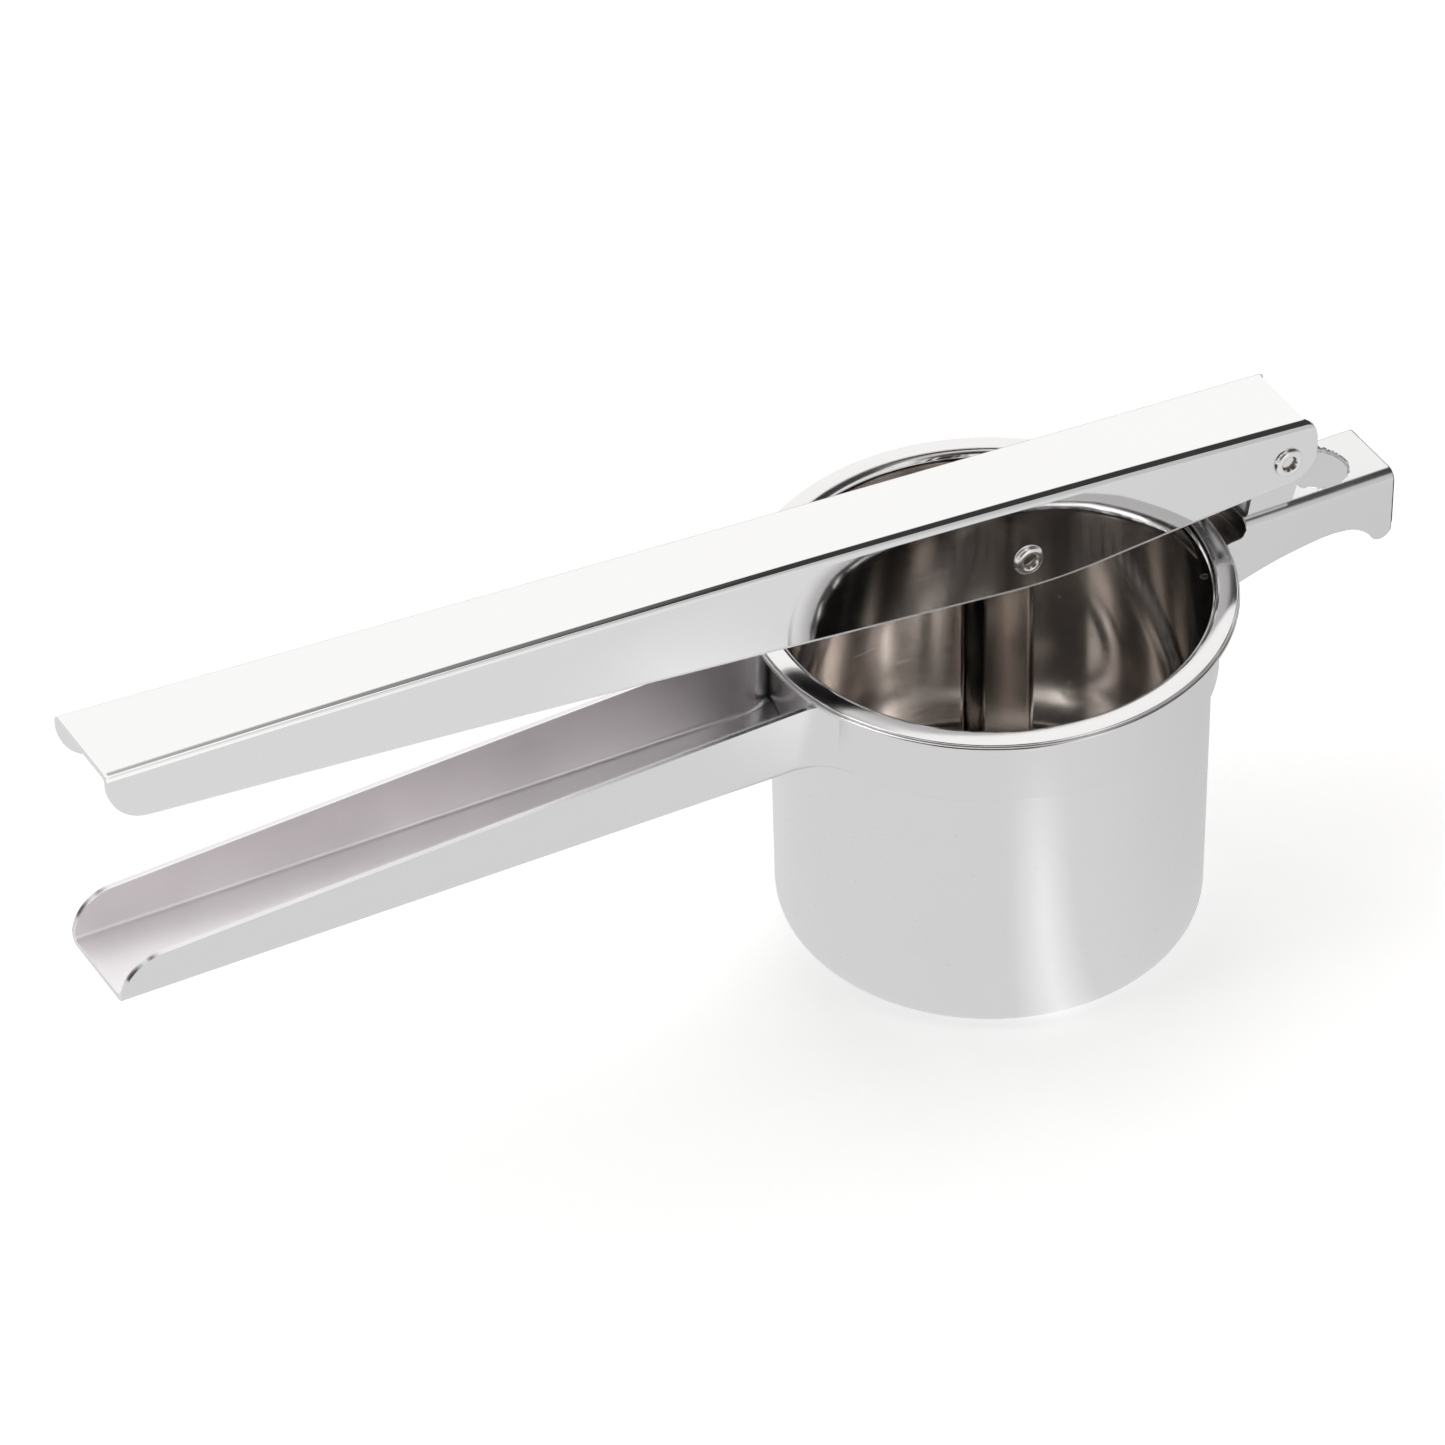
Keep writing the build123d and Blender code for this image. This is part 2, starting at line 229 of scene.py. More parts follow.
def parabola(points, x):
    """Value at x of the parabola through three points."""
    total = 0.0
    for k, (x_here, value) in enumerate(points):
        a, b = [p[0] for i, p in enumerate(points) if i != k]
        total += value * (x - a) * (x - b) / ((x_here - a) * (x_here - b))
    return total


def steps_between(start, end, size):
    """Evenly spaced values from start to end, about size apart."""
    count = max(1, round(abs(end - start) / size))
    return [start + (end - start) * k / count for k in range(count + 1)]


def mirrored(row, side):
    """A row of points on the side of the plane y = 0 that side gives, as -1 or 1."""
    return [(x, side * y, z) for x, y, z in row]


# ======================== mesh work
def add_grid(bm, rows):
    """Quads between successive rows of points."""
    grid = [[bm.verts.new(point) for point in row] for row in rows]
    for lower, upper in zip(grid, grid[1:]):
        for k in range(len(lower) - 1):
            bm.faces.new((lower[k], lower[k + 1], upper[k + 1], upper[k]))


def add_revolved(bm, profile, closed=True, count=turns, centre=(0.0, 0.0)):
    """Surface of a (radius, height) profile turned about an axis along Z."""
    rows = []
    outline = profile + profile[:1] if closed else profile
    for k in range(count + 1):
        angle = 2 * math.pi * k / count
        cos, sin = math.cos(angle), math.sin(angle)
        rows.append([(centre[0] + r * cos, centre[1] + r * sin, z) for r, z in outline])
    add_grid(bm, rows)


def weld(bm):
    """Joins the vertices that coincide and drops faces with no area."""
    bmesh.ops.remove_doubles(bm, verts=bm.verts, dist=0.002)
    bmesh.ops.dissolve_degenerate(bm, dist=0.0005, edges=bm.edges)


def face_away_from(bm, point):
    """Turns an open surface so that its normals point away from a point."""
    bmesh.ops.recalc_face_normals(bm, faces=bm.faces)
    bm.normal_update()
    facing = sum(f.normal.dot(f.calc_center_median() - Vector(point)) * f.calc_area() for f in bm.faces)
    if facing < 0:
        bmesh.ops.reverse_faces(bm, faces=bm.faces)


def add_object(name, bm):
    """An object of the mesh, linked to the scene."""
    mesh = bpy.data.meshes.new(name)
    bm.to_mesh(mesh)
    bm.free()
    made = bpy.data.objects.new(name, mesh)
    bpy.context.scene.collection.objects.link(made)
    return made


def round_hole_cutter(centre, radius, normal, depth=6.0):
    """A cylinder that cuts a round hole through a sheet."""
    bm = bmesh.new()
    bmesh.ops.create_cone(bm, cap_ends=True, segments=96, radius1=radius, radius2=radius, depth=depth)
    turn = Vector(normal).to_track_quat("Z", "Y").to_matrix().to_4x4()
    matrix = Matrix.Diagonal((MM, MM, MM, 1)) @ Matrix.Translation(centre) @ turn
    bmesh.ops.transform(bm, matrix=matrix, verts=bm.verts)
    return add_object("cutter", bm)


def cut(piece, cutter):
    """Takes the cutter's shape out of a piece and deletes the cutter."""
    difference = piece.modifiers.new("hole", "BOOLEAN")
    difference.operation = "DIFFERENCE"
    difference.solver = "EXACT"
    difference.object = cutter
    graph = bpy.context.evaluated_depsgraph_get()
    mesh = bpy.data.meshes.new_from_object(piece.evaluated_get(graph), depsgraph=graph)
    piece.modifiers.clear()
    piece.data = mesh
    bpy.data.objects.remove(cutter)


def thicken(piece, thickness):
    """Gives an open surface its sheet thickness, on its inner side."""
    solidify = piece.modifiers.new("sheet", "SOLIDIFY")
    solidify.thickness = thickness * MM
    solidify.offset = -1
    solidify.use_even_offset = True


def round_edges(piece, width, clamp):
    """Rounds a piece's sharp edges."""
    rounding = piece.modifiers.new("edges", "BEVEL")
    rounding.width = width * MM
    rounding.use_clamp_overlap = clamp
    rounding.segments = 3
    rounding.limit_method = "ANGLE"
    rounding.angle_limit = math.radians(40)
    rounding.harden_normals = False


def finish_piece(name, bm, material, place, thickness=0.0, bevel=0.0, cutter=None, clamp=True):
    """Makes a smooth-shaded object of the mesh, with its sheet thickness and its rounded edges.

    The place is the body that the piece rides on, the CAD node that it replaces and a material slot name,
    which is not used.
    """
    weld(bm)
    if not thickness:
        bmesh.ops.recalc_face_normals(bm, faces=bm.faces)
    bmesh.ops.scale(bm, vec=(MM, MM, MM), verts=bm.verts)
    piece = add_object(name, bm)
    piece.data.polygons.foreach_set("use_smooth", [True] * len(piece.data.polygons))
    piece.data.materials.append(material)
    if thickness:
        thicken(piece, thickness)
    if bevel:
        round_edges(piece, bevel, clamp)
    if cutter:
        cut(piece, cutter)
    weighted = piece.modifiers.new("normals", "WEIGHTED_NORMAL")
    weighted.keep_sharp = False
    weighted.weight = 50
    body, node, slot = place
    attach(piece, body)
    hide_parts(node)


# ======================== shader nodes
class Nodes:
    """A short way to add and join shader nodes."""

    def __init__(self, tree):
        self.tree = tree
        self.tree.nodes.clear()

    def add(self, kind, inputs=(), **settings):
        node = self.tree.nodes.new(kind)
        for key, value in settings.items():
            setattr(node, key, value)
        for key, value in dict(inputs).items():
            if isinstance(value, bpy.types.NodeSocket):
                self.tree.links.new(value, node.inputs[key])
            else:
                node.inputs[key].default_value = value
        return node

    def math(self, operation, a, b=0.0, clamp=False):
        return self.add("ShaderNodeMath", {0: a, 1: b}, operation=operation, use_clamp=clamp).outputs[0]

    def scaled(self, value, factor, offset):
        """value * factor + offset."""
        values = {0: value, 1: factor, 2: offset}
        return self.add("ShaderNodeMath", values, operation="MULTIPLY_ADD").outputs[0]

    def noise(self, vector, scale, detail=2.0, roughness=0.5):
        values = {"Vector": vector, "Scale": scale, "Detail": detail, "Roughness": roughness}
        return self.add("ShaderNodeTexNoise", values).outputs["Fac"]

    def spread(self, value, low_in, high_in, low_out, high_out):
        """The value taken from one range to another, and kept inside it."""
        values = {"Value": value, "From Min": low_in, "From Max": high_in}
        values.update({"To Min": low_out, "To Max": high_out})
        return self.add("ShaderNodeMapRange", values).outputs["Result"]

    def place(self):
        """Position in the object, in metres."""
        return self.add("ShaderNodeTexCoord").outputs["Object"]

    def split(self, vector):
        """The X, Y and Z of a vector."""
        outputs = self.add("ShaderNodeSeparateXYZ", {0: vector}).outputs
        return outputs["X"], outputs["Y"], outputs["Z"]

    def length(self, x, y):
        """Length of the flat vector (x, y)."""
        flat = self.add("ShaderNodeCombineXYZ", {0: x, 1: y}).outputs[0]
        return self.add("ShaderNodeVectorMath", {0: flat}, operation="LENGTH").outputs["Value"]

    def dot(self, vector, fixed):
        values = {0: vector, 1: tuple(fixed)}
        return self.add("ShaderNodeVectorMath", values, operation="DOT_PRODUCT").outputs["Value"]

    def mix(self, factor, first, second):
        """The first colour where the factor is 0, the second where it is 1."""
        return self.add("ShaderNodeMix", {"Factor": factor, 6: first, 7: second}, data_type="RGBA").outputs[2]

    def bump(self, height, strength, distance, **more):
        values = {"Height": height, "Strength": strength, "Distance": distance, **more}
        return self.add("ShaderNodeBump", values).outputs[0]

    def finish(self, shader, output="ShaderNodeOutputMaterial"):
        self.tree.links.new(shader.outputs[0], self.add(output).inputs["Surface"])


# ======================== steel
def straight_grain(nodes, fine):
    """Coordinates in which noise becomes lines along X."""
    place = nodes.place()
    scale = {"Vector": place, "Scale": (fine / 60, fine, fine)}
    return nodes.add("ShaderNodeMapping", scale).outputs["Vector"], place


def turned_grain(nodes, fine):
    """Coordinates in which noise becomes rings about Z."""
    place = nodes.place()
    x, y, z = nodes.split(place)
    outward = nodes.math("MULTIPLY", nodes.length(x, y), fine)
    around = nodes.math("MULTIPLY", nodes.math("ARCTAN2", y, x), fine * 0.0009)
    ring = {0: outward, 1: around, 2: nodes.math("MULTIPLY", z, fine)}
    return nodes.add("ShaderNodeCombineXYZ", ring).outputs[0], place


def steel_roughness(nodes, place, lines, roughness, brushing, scratches):
    """Roughness with brushing lines, faint smudges and hairline scratches."""
    grit = nodes.scaled(nodes.math("SUBTRACT", lines, 0.5), brushing, roughness)
    smudge = nodes.noise(place, 38.0, detail=4.0, roughness=0.6)
    soft = nodes.spread(smudge, 0.35, 0.75, -0.22 * roughness, 0.3 * roughness)
    stretched = {"Vector": place, "Rotation": (0.3, 0.5, 0.7), "Scale": (40, 900, 700)}
    hair = nodes.noise(nodes.add("ShaderNodeMapping", stretched).outputs["Vector"], 1.0, detail=1.0)
    hairlines = nodes.spread(hair, 0.70, 0.76, 0.0, 1.0)
    marks = nodes.math("MULTIPLY", hairlines, 0.08 * scratches)
    return nodes.math("ADD", nodes.math("ADD", grit, soft), marks, clamp=True)


def steel_tint(nodes, place, lines, colour):
    """The steel's colour, a little darker in its lines and in faint clouds."""
    cloud = nodes.noise(place, 11.0, detail=1.0)
    streaks = nodes.spread(lines, 0.2, 0.8, -0.03, 0.03)
    tone = nodes.math("ADD", streaks, nodes.spread(cloud, 0.3, 0.7, -0.015, 0.015))
    dark = [c * 0.9 for c in colour]
    return nodes.mix(nodes.math("ADD", tone, 0.9, clamp=True), dark + [1.0], list(colour) + [1.0])


def steel_normal(nodes, place, lines, brushing, waviness):
    normal = nodes.bump(lines, min(1.0, brushing * 0.55), 0.00003)
    if waviness:
        swell = nodes.noise(place, 24.0, detail=0.0)
        normal = nodes.bump(swell, waviness, 0.0004, Normal=normal)
    return normal


def steel(
    name, colour, roughness, brushing, grain, fine, waviness=0.0, anisotropy=0.0, scratches=0.5, zones=()
):
    """Stainless steel. Its grain is straight or turned, and finer the larger fine is.

    Each zone is a function that gives a mask, and the colour and roughness that the steel has where it is 1.
    """
    material = bpy.data.materials.new(name)
    material.use_nodes = True
    nodes = Nodes(material.node_tree)
    lines_at, place = grain(nodes, fine)
    lines = nodes.noise(lines_at, 1.0, detail=3.0, roughness=0.65)
    rough = steel_roughness(nodes, place, lines, roughness, brushing, scratches)
    tint = steel_tint(nodes, place, lines, colour)
    for zone in zones:
        mask, zone_colour, zone_roughness = zone(nodes, place)
        tint = nodes.mix(mask, tint, list(zone_colour) + [1.0])
        change = nodes.math("MULTIPLY", mask, zone_roughness - roughness)
        rough = nodes.math("ADD", rough, change, clamp=True)
    normal = steel_normal(nodes, place, lines, brushing, waviness)
    values = {"Base Color": tint, "Roughness": rough, "Normal": normal, "Metallic": 1.0}
    shader = nodes.add("ShaderNodeBsdfPrincipled", values)
    if anisotropy:
        shader.inputs["Anisotropic"].default_value = anisotropy
        shader.inputs["Anisotropic Rotation"].default_value = 0.25
        tangent = nodes.add("ShaderNodeTangent", direction_type="RADIAL", axis="Z").outputs[0]
        nodes.tree.links.new(tangent, shader.inputs["Tangent"])
    nodes.finish(shader)
    return material


# ======================== zones with another finish, some with painted light and shade
def inside_channel_painted_light(nodes, place):
    """The lower handle's inner faces: a coarser finish, and a lighter colour that is painted light in the
    channel's shade.
    """
    x, y, z = nodes.split(place)
    height = nodes.math("SUBTRACT", z, nodes.scaled(x, -lower_slope, lower_floor_height * MM))
    half = nodes.scaled(height, math.tan(lower_draft), (lower_half_width - 0.7 * sheet) * MM)
    between = nodes.math("LESS_THAN", nodes.math("ABSOLUTE", y), half)
    above = nodes.math("GREATER_THAN", height, 0.7 * sheet * MM)
    return nodes.math("MULTIPLY", between, above), (0.93, 0.90, 0.915), 0.36


def polished_rim(nodes, place):
    """The basket's flange, which is polished brighter than its wall."""
    _, _, z = nodes.split(place)
    above = (basket_top - flange_bend - 0.6) * MM
    return nodes.spread(z, above, above + 0.5 * MM, 0.0, 1.0), (0.80, 0.785, 0.79), 0.06


def basket_outside(nodes, place):
    """The basket's outer face, finished like the collar."""
    x, y, z = nodes.split(place)
    widening = (basket_mouth_radius - basket_foot_radius) / basket_top
    middle = nodes.scaled(z, widening, (basket_foot_radius - basket_wall / 2) * MM)
    outer = nodes.math("GREATER_THAN", nodes.length(x, y), middle)
    foot = nodes.math("LESS_THAN", z, basket_corner * MM)
    return nodes.math("MAXIMUM", outer, foot), satin_tint, satin_roughness


def rivet_recess_painted_shade(nodes, place):
    """The bottoms of the two rivets' recesses: rougher, with painted shade darkening their colour."""
    x, _, z = nodes.split(place)
    masks = []
    for pin in (pivot, plunger_pin):
        across = nodes.math("SUBTRACT", x, pin[0] * MM)
        up = nodes.math("SUBTRACT", z, pin[2] * MM)
        masks.append(nodes.math("LESS_THAN", nodes.length(across, up), rivet_recess_radius * MM))
    return nodes.math("MAXIMUM", *masks), (0.38, 0.34, 0.30), 0.45


def bracket_neck_painted_shade(nodes, place):
    """Painted shade: the bracket's step down to the collar, painted dark where it lies under the handle, and
    a little rougher.
    """
    across, _, _ = nodes.split(place)
    _, _, facing_up = nodes.split(nodes.add("ShaderNodeTexCoord").outputs["Normal"])
    before_web = nodes.math("LESS_THAN", across, bracket_front * MM)
    upward = nodes.math("GREATER_THAN", facing_up, 0.35)
    return nodes.math("MULTIPLY", before_web, upward), (0.20, 0.175, 0.16), 0.24


def rough_lower_edges_painted_highlight(nodes, place):
    """The upper handle's lower edges, ground dull so that they catch the light as a pale line, and painted
    paler as a painted highlight.
    """
    across, _, up = nodes.split(place)
    heights = []
    for (x, z), (next_x, next_z) in zip(upper_under[1:3], upper_under[2:4]):
        slope = (next_z - z) / (next_x - x)
        heights.append(nodes.scaled(across, slope, (z - slope * x) * MM))
    corner_reach = 3.0 * MM
    values = {0: heights[0], 1: heights[1], 2: corner_reach}
    outline = nodes.add("ShaderNodeMath", values, operation="SMOOTH_MAX").outputs[0]
    above = nodes.math("SUBTRACT", up, outline)
    fade_end = (upper_edge_line + 0.12) * MM
    return nodes.spread(above, upper_edge_line * MM, fade_end, 1.0, 0.0), (0.96, 0.95, 0.94), 0.75


# ======================== the ricer's steels
bright_tint = (0.85, 0.85, 0.852)
satin_tint = (0.79, 0.79, 0.795)
inside_tint = (0.80, 0.76, 0.73)
rivet_tint = (0.90, 0.88, 0.87)
satin_roughness = 0.22


def satin(name, grain=straight_grain, zones=()):
    return steel(name, satin_tint, satin_roughness, 0.05, grain, 7000, waviness=0.01, zones=zones)


# The polished steel carries a painted highlight along the upper handle's lower edges.
mirror_steel = steel(
    "mirror_steel", bright_tint, 0.05, 0.02, straight_grain, 7000, waviness=0.012, zones=[rough_lower_edges_painted_highlight]
)
# The bracket's steel carries painted shade on its neck, under the handle.
bracket_steel = satin("bracket_steel", zones=[bracket_neck_painted_shade])
satin_steel = satin("satin_steel")
# The lower handle's satin, with painted light on its inner faces.
satin_painted_light_inside = satin("satin_painted_light_inside", zones=[inside_channel_painted_light])
turned_satin = satin("turned_satin", turned_grain)
basket_steel = steel(
    "basket_steel", inside_tint, 0.13, 0.10, turned_grain, 5000,
    anisotropy=0.7, scratches=1.0, zones=[basket_outside, polished_rim],
)
# The rivets' steel carries painted shade in the bottoms of their recesses.
rivet_steel = steel("rivet_steel", rivet_tint, 0.24, 0.04, turned_grain, 5000, zones=[rivet_recess_painted_shade])
plunger_steel = steel("plunger_steel", inside_tint, 0.12, 0.08, turned_grain, 5000)


# ======================== basket
def basket_profile():
    """Radius and height round the basket's wall, from the floor's underside to the floor's upper face."""
    outline = [
        (basket_floor_radius, 0.0),
        (basket_foot_radius, 0.0),
        (basket_mouth_radius, basket_top - basket_wall),
        (flange_radius, basket_top - basket_wall),
        (flange_radius, basket_top - flange_fall),
        (flange_crown_radius, basket_top),
        (basket_mouth_radius - basket_wall, basket_top - flange_fall),
        (basket_foot_radius - basket_wall, basket_wall),
        (basket_floor_radius, basket_wall),
    ]
    edge = flange_edge_round
    radii = [0, basket_corner, flange_bend - basket_wall, edge, edge, flange_crown_round, flange_bend]
    radii += [basket_corner - basket_wall, 0]
    return rounded(outline, radii)


def circle(x, y, radius, count):
    """Points round a circle."""
    points = []
    for k in range(count):
        angle = 2 * math.pi * k / count
        points.append((x + radius * math.cos(angle), y + radius * math.sin(angle)))
    return points


def add_floor_face(bm, height, holes):
    """One flat face of the basket's floor, open at each hole."""
    edges = []
    rims = [circle(0.0, 0.0, basket_floor_radius, turns)]
    rims += [circle(x, y, sieve_hole_radius + sieve_hole_lip, sieve_hole_steps) for x, y in holes]
    for rim in rims:
        loop = [bm.verts.new((x, y, height)) for x, y in rim]
        edges += [bm.edges.new((loop[k - 1], loop[k])) for k in range(len(loop))]
    bmesh.ops.triangle_fill(bm, use_beauty=True, edges=edges, normal=(0, 0, 1))


def make_basket():
    bm = bmesh.new()
    add_revolved(bm, basket_profile(), closed=False)
    holes = []
    for ring in range(1, sieve_ring_count + 1):
        holes += circle(0.0, 0.0, sieve_ring_pitch * ring, 6 * ring)
    for height in (0.0, basket_wall):
        add_floor_face(bm, height, holes)
    mouth = sieve_hole_radius + sieve_hole_lip
    bore = [(mouth, 0.0), (sieve_hole_radius, sieve_hole_lip)]
    bore += [(sieve_hole_radius, basket_wall - sieve_hole_lip), (mouth, basket_wall)]
    for hole in holes:
        add_revolved(bm, bore, closed=False, count=sieve_hole_steps, centre=hole)
    finish_piece("basket_shell", bm, basket_steel, ("frame", "basket", "basket_steel"))


# ======================== collar
def make_collar():
    bm = bmesh.new()
    inside = collar_radius - collar_sheet
    outline = [
        (collar_radius, collar_foot),
        (collar_radius, collar_top - collar_sheet),
        (collar_lip_radius, collar_top - collar_sheet),
        (collar_lip_radius, collar_top),
        (inside, collar_top),
        (inside, collar_foot),
    ]
    radii = [0.6, collar_lip_bend, 0.45, 0.45, collar_lip_bend + collar_sheet, 0.2]
    add_revolved(bm, rounded(outline, radii, closed=True))
    finish_piece("collar_ring", bm, turned_satin, ("frame", "collar", "satin_steel"))


# ======================== upper handle
def upper_shoulder():
    """Where the wall's top curls over at the right end: its x, its height and how far its bend turns."""
    web_edge = parabola(upper_top_points, upper_web_end) - upper_bend
    curl = [(upper_web_end, 0.0, 90.0), (65.5, 0.1, 66.0), (66.2, 0.4, 48.0), (66.7, 0.9, 28.0)]
    curl.append((upper_right, 1.8, 2.0))
    return [(x, web_edge - fall, turned) for x, fall, turned in curl]


def upper_wall_top(x):
    """Height at x of the top of the upper handle's wall, where its bend to the web starts."""
    if x > upper_web_end:
        return height_on([(at, z) for at, z, _ in upper_shoulder()], x)
    return parabola(upper_top_points, x) - upper_bend


def upper_columns():
    """For each column of the wall's points, from left to right, the x of its top and its lower end."""
    steps = upper_corner_steps
    under = rounded(upper_under, upper_under_radii, steps=steps)
    left_round = under[1 : steps + 2]
    straight = under[steps + 1 : -steps - 1]
    heel = under[-steps - 2 : -1]
    round_end, heel_start = left_round[-1][0], heel[0][0]
    columns = []
    for k, low in enumerate(left_round):
        columns.append((upper_left + (round_end - upper_left) * k / steps, low))
    for x in steps_between(round_end, heel_start, 4.0)[1:-1]:
        columns.append((x, (x, height_on(straight, x))))
    tops = [heel_start + (upper_web_end - heel_start) * k / 6 for k in range(7)]
    tops += [x for x, _, _ in upper_shoulder()[1:]]
    return columns + list(zip(tops, heel))


def upper_wall_row(x_top, low, side):
    """Points up one column of the wall."""
    x_low, z_low = low
    z_top = upper_wall_top(x_top)
    row = []
    for k in range(wall_rows + 1):
        x = x_low + (x_top - x_low) * k / wall_rows
        row.append((x, side * parabola(upper_half_widths, x), z_low + (z_top - z_low) * k / wall_rows))
    return row


def upper_section(x, side, start, turned=90.0):
    """Bend of the upper handle's section at x, from the wall's top at height start over towards the web."""
    width = parabola(upper_half_widths, x)
    bend = arc_points((width - upper_bend, start), upper_bend, 0, turned, 8)
    return [(x, side * y, z) for y, z in bend]


def upper_web_row(x):
    """Points across the web at x, with the bend at each end."""
    edge = upper_wall_top(x)
    near = upper_section(x, -1, edge)
    far = upper_section(x, 1, edge)
    gap = far[-1][1] - near[-1][1]
    web = [(x, near[-1][1] + gap * k / 8, near[-1][2]) for k in range(1, 8)]
    return near + web + far[::-1]


def make_upper_handle():
    bm = bmesh.new()
    columns = upper_columns()
    for side in (-1, 1):
        add_grid(bm, [upper_wall_row(x_top, low, side) for x_top, low in columns])
    add_grid(bm, [upper_web_row(x) for x, _ in columns if x <= upper_web_end + 0.001])
    for side in (-1, 1):
        add_grid(bm, [upper_section(x, side, z, turned) for x, z, turned in upper_shoulder()])
    weld(bm)
    face_away_from(bm, ((upper_left + upper_right) / 2, 0, 98.0))
    place = ("handle", "upper_handle", "polished_steel")
    finish_piece("upper_grip", bm, mirror_steel, place, thickness=sheet, bevel=upper_edge_round)


# ======================== flare to the collar
def flare_arc(side_x, half_width, steps):
    """Plan points and outward normals along a strip's side, from the strip into the collar."""
    away = math.copysign(1.0, side_x)
    centre_y = half_width + flare_radius
    centre_x = math.sqrt((collar_radius + flare_radius) ** 2 - centre_y**2)
    end = math.atan2(-centre_y, -centre_x)
    result = []
    for k in range(steps + 1):
        angle = -math.pi / 2 + (end + math.pi / 2) * k / steps
        normal = (-math.cos(angle) * away, -math.sin(angle))
        x = (centre_x + flare_radius * math.cos(angle)) * away
        result.append(((x, centre_y + flare_radius * math.sin(angle)), normal, k / steps))
    return result


# ======================== lower handle
def lower_floor(x):
    return lower_floor_height - lower_slope * x


def lower_rim(x):
    """Height of the lower handle's wall top at x, with its rounded left end."""
    rim = parabola(lower_rim_points, x)
    inset = lower_end_round - (x - lower_low[0])
    if inset > 0:
        rise = rim - lower_floor(x) - sheet
        rim -= rise * (1 - math.sqrt(1 - (inset / lower_end_round) ** 2))
    return rim


def lower_wall(foot, normal, lean, bury, inset):
    """One skin of the lower handle's side, from its floor round the bend to its rim."""
    floor = lower_floor(foot[0])
    height = lower_rim(foot[0]) - floor
    radius = lower_bend - inset
    last_turn = math.pi / 2 - lean
    setback = lower_bend * math.tan(last_turn / 2)
    bend_top = lower_bend - radius * math.cos(last_turn)
    wall_length = 0.0
    if height > bend_top:
        wall_length = (height - bend_top) / math.cos(lean)
    else:
        last_turn = math.acos(min(1.0, (lower_bend - height) / radius))
    points = []
    for k in range(lower_bend_steps + lower_wall_steps + 1):
        turn = last_turn * min(k, lower_bend_steps) / lower_bend_steps
        along = wall_length * max(0, k - lower_bend_steps) / lower_wall_steps
        out = radius * math.sin(turn) + along * math.sin(lean) - setback - bury
        up = lower_bend - radius * math.cos(turn) + along * math.cos(lean)
        points.append((foot[0] + normal[0] * out, foot[1] + normal[1] * out, floor + up))
    return points


def lower_skins(floor, foot, normal, lean, bury):
    """Outer and inner skins of half of the lower handle's section."""
    outer = floor + lower_wall(foot, normal, lean, bury, 0.0)
    inner = [(x, y, z + sheet) for x, y, z in floor] + lower_wall(foot, normal, lean, bury, sheet)
    return outer, inner


def lower_straight_stations(flare_start):
    """The skins from the rounded left end to where the walls start to flare."""
    xs = [lower_low[0] + lower_end_round * (1 - math.cos(math.radians(9 * k))) for k in range(11)]
    xs += steps_between(xs[-1], flare_start, 4.0)[1:]
    edge = lower_half_width - lower_setback
    stations = []
    for x in xs:
        floor = [(x, edge * k / lower_floor_steps, lower_floor(x)) for k in range(lower_floor_steps)]
        stations.append(lower_skins(floor, (x, lower_half_width), (0, 1), lower_draft, 0.0))
    return stations


def lower_flared_floor(flare_start, edge, end_angle, t):
    """Half of the floor's row at t of the flare, which bends from straight to the collar's curve."""
    embedded = collar_radius - collar_bury
    centre_x = flare_start + (-embedded - flare_start) * t
    floor = []
    for k in range(lower_floor_steps):
        u = k / lower_floor_steps
        arc = math.pi + (end_angle - math.pi) * u
        end_x = (1 - u) * -embedded + u * embedded * math.cos(end_angle)
        end_y = u * embedded * math.sin(end_angle)
        x = (1 - u) * centre_x + u * edge[0] + t * (embedded * math.cos(arc) - end_x)
        y = u * edge[1] + t * (embedded * math.sin(arc) - end_y)
        floor.append((x, y, lower_floor(x)))
    return floor


def lower_flared_stations(flare):
    """The skins from the start of the flare to inside the collar, with the walls turning upright."""
    walls = []
    for foot, normal, t in flare[1:]:
        ease = t * t * (3 - 2 * t)
        walls.append((foot, normal, lower_draft * (1 - ease), collar_bury * ease))
    last_edge = lower_wall(*walls[-1], 0.0)[0]
    end_angle = math.atan2(last_edge[1], last_edge[0])
    stations = []
    for (_, _, t), wall in zip(flare[1:], walls):
        edge = lower_wall(*wall, 0.0)[0]
        stations.append(lower_skins(lower_flared_floor(flare[0][0][0], edge, end_angle, t), *wall))
    return stations


def make_lower_handle():
    flare = flare_arc(-1, lower_half_width, 14)
    stations = lower_straight_stations(flare[0][0][0]) + lower_flared_stations(flare)
    rows = [outer + inner[::-1] for outer, inner in stations]
    bm = bmesh.new()
    for side in (-1, 1):
        add_grid(bm, [mirrored(row, side) for row in rows])
        for end in (stations[0], stations[-1]):
            add_grid(bm, [mirrored(skin, side) for skin in end])
    place = ("frame", "lower_handle", "satin_steel")
    finish_piece("lower_grip", bm, satin_painted_light_inside, place, bevel=lower_edge_round)


# ======================== rear bracket
def bracket_top(x):
    return 75.7 - bracket_slope * (x - 61.5)


def bracket_underside():
    """The wall's lower outline from the collar to the hook, as a smooth curve through its knots."""
    knots = [Vector(knot) for knot in bracket_under_knots]
    last = len(knots) - 1
    outline = []
    for k in range(last):
        start, end = knots[k], knots[k + 1]
        leaving = (end - knots[max(0, k - 1)]) * (0.5 if k else 1.0)
        arriving = (knots[min(last, k + 2)] - start) * (0.5 if k < last - 1 else 1.0)
        for i in range(6):
            t = i / 6
            spot = start * (2 * t**3 - 3 * t**2 + 1) + leaving * (t**3 - 2 * t**2 + t)
            spot += end * (3 * t**2 - 2 * t**3) + arriving * (t**3 - t**2)
            outline.append(tuple(spot))
    return outline


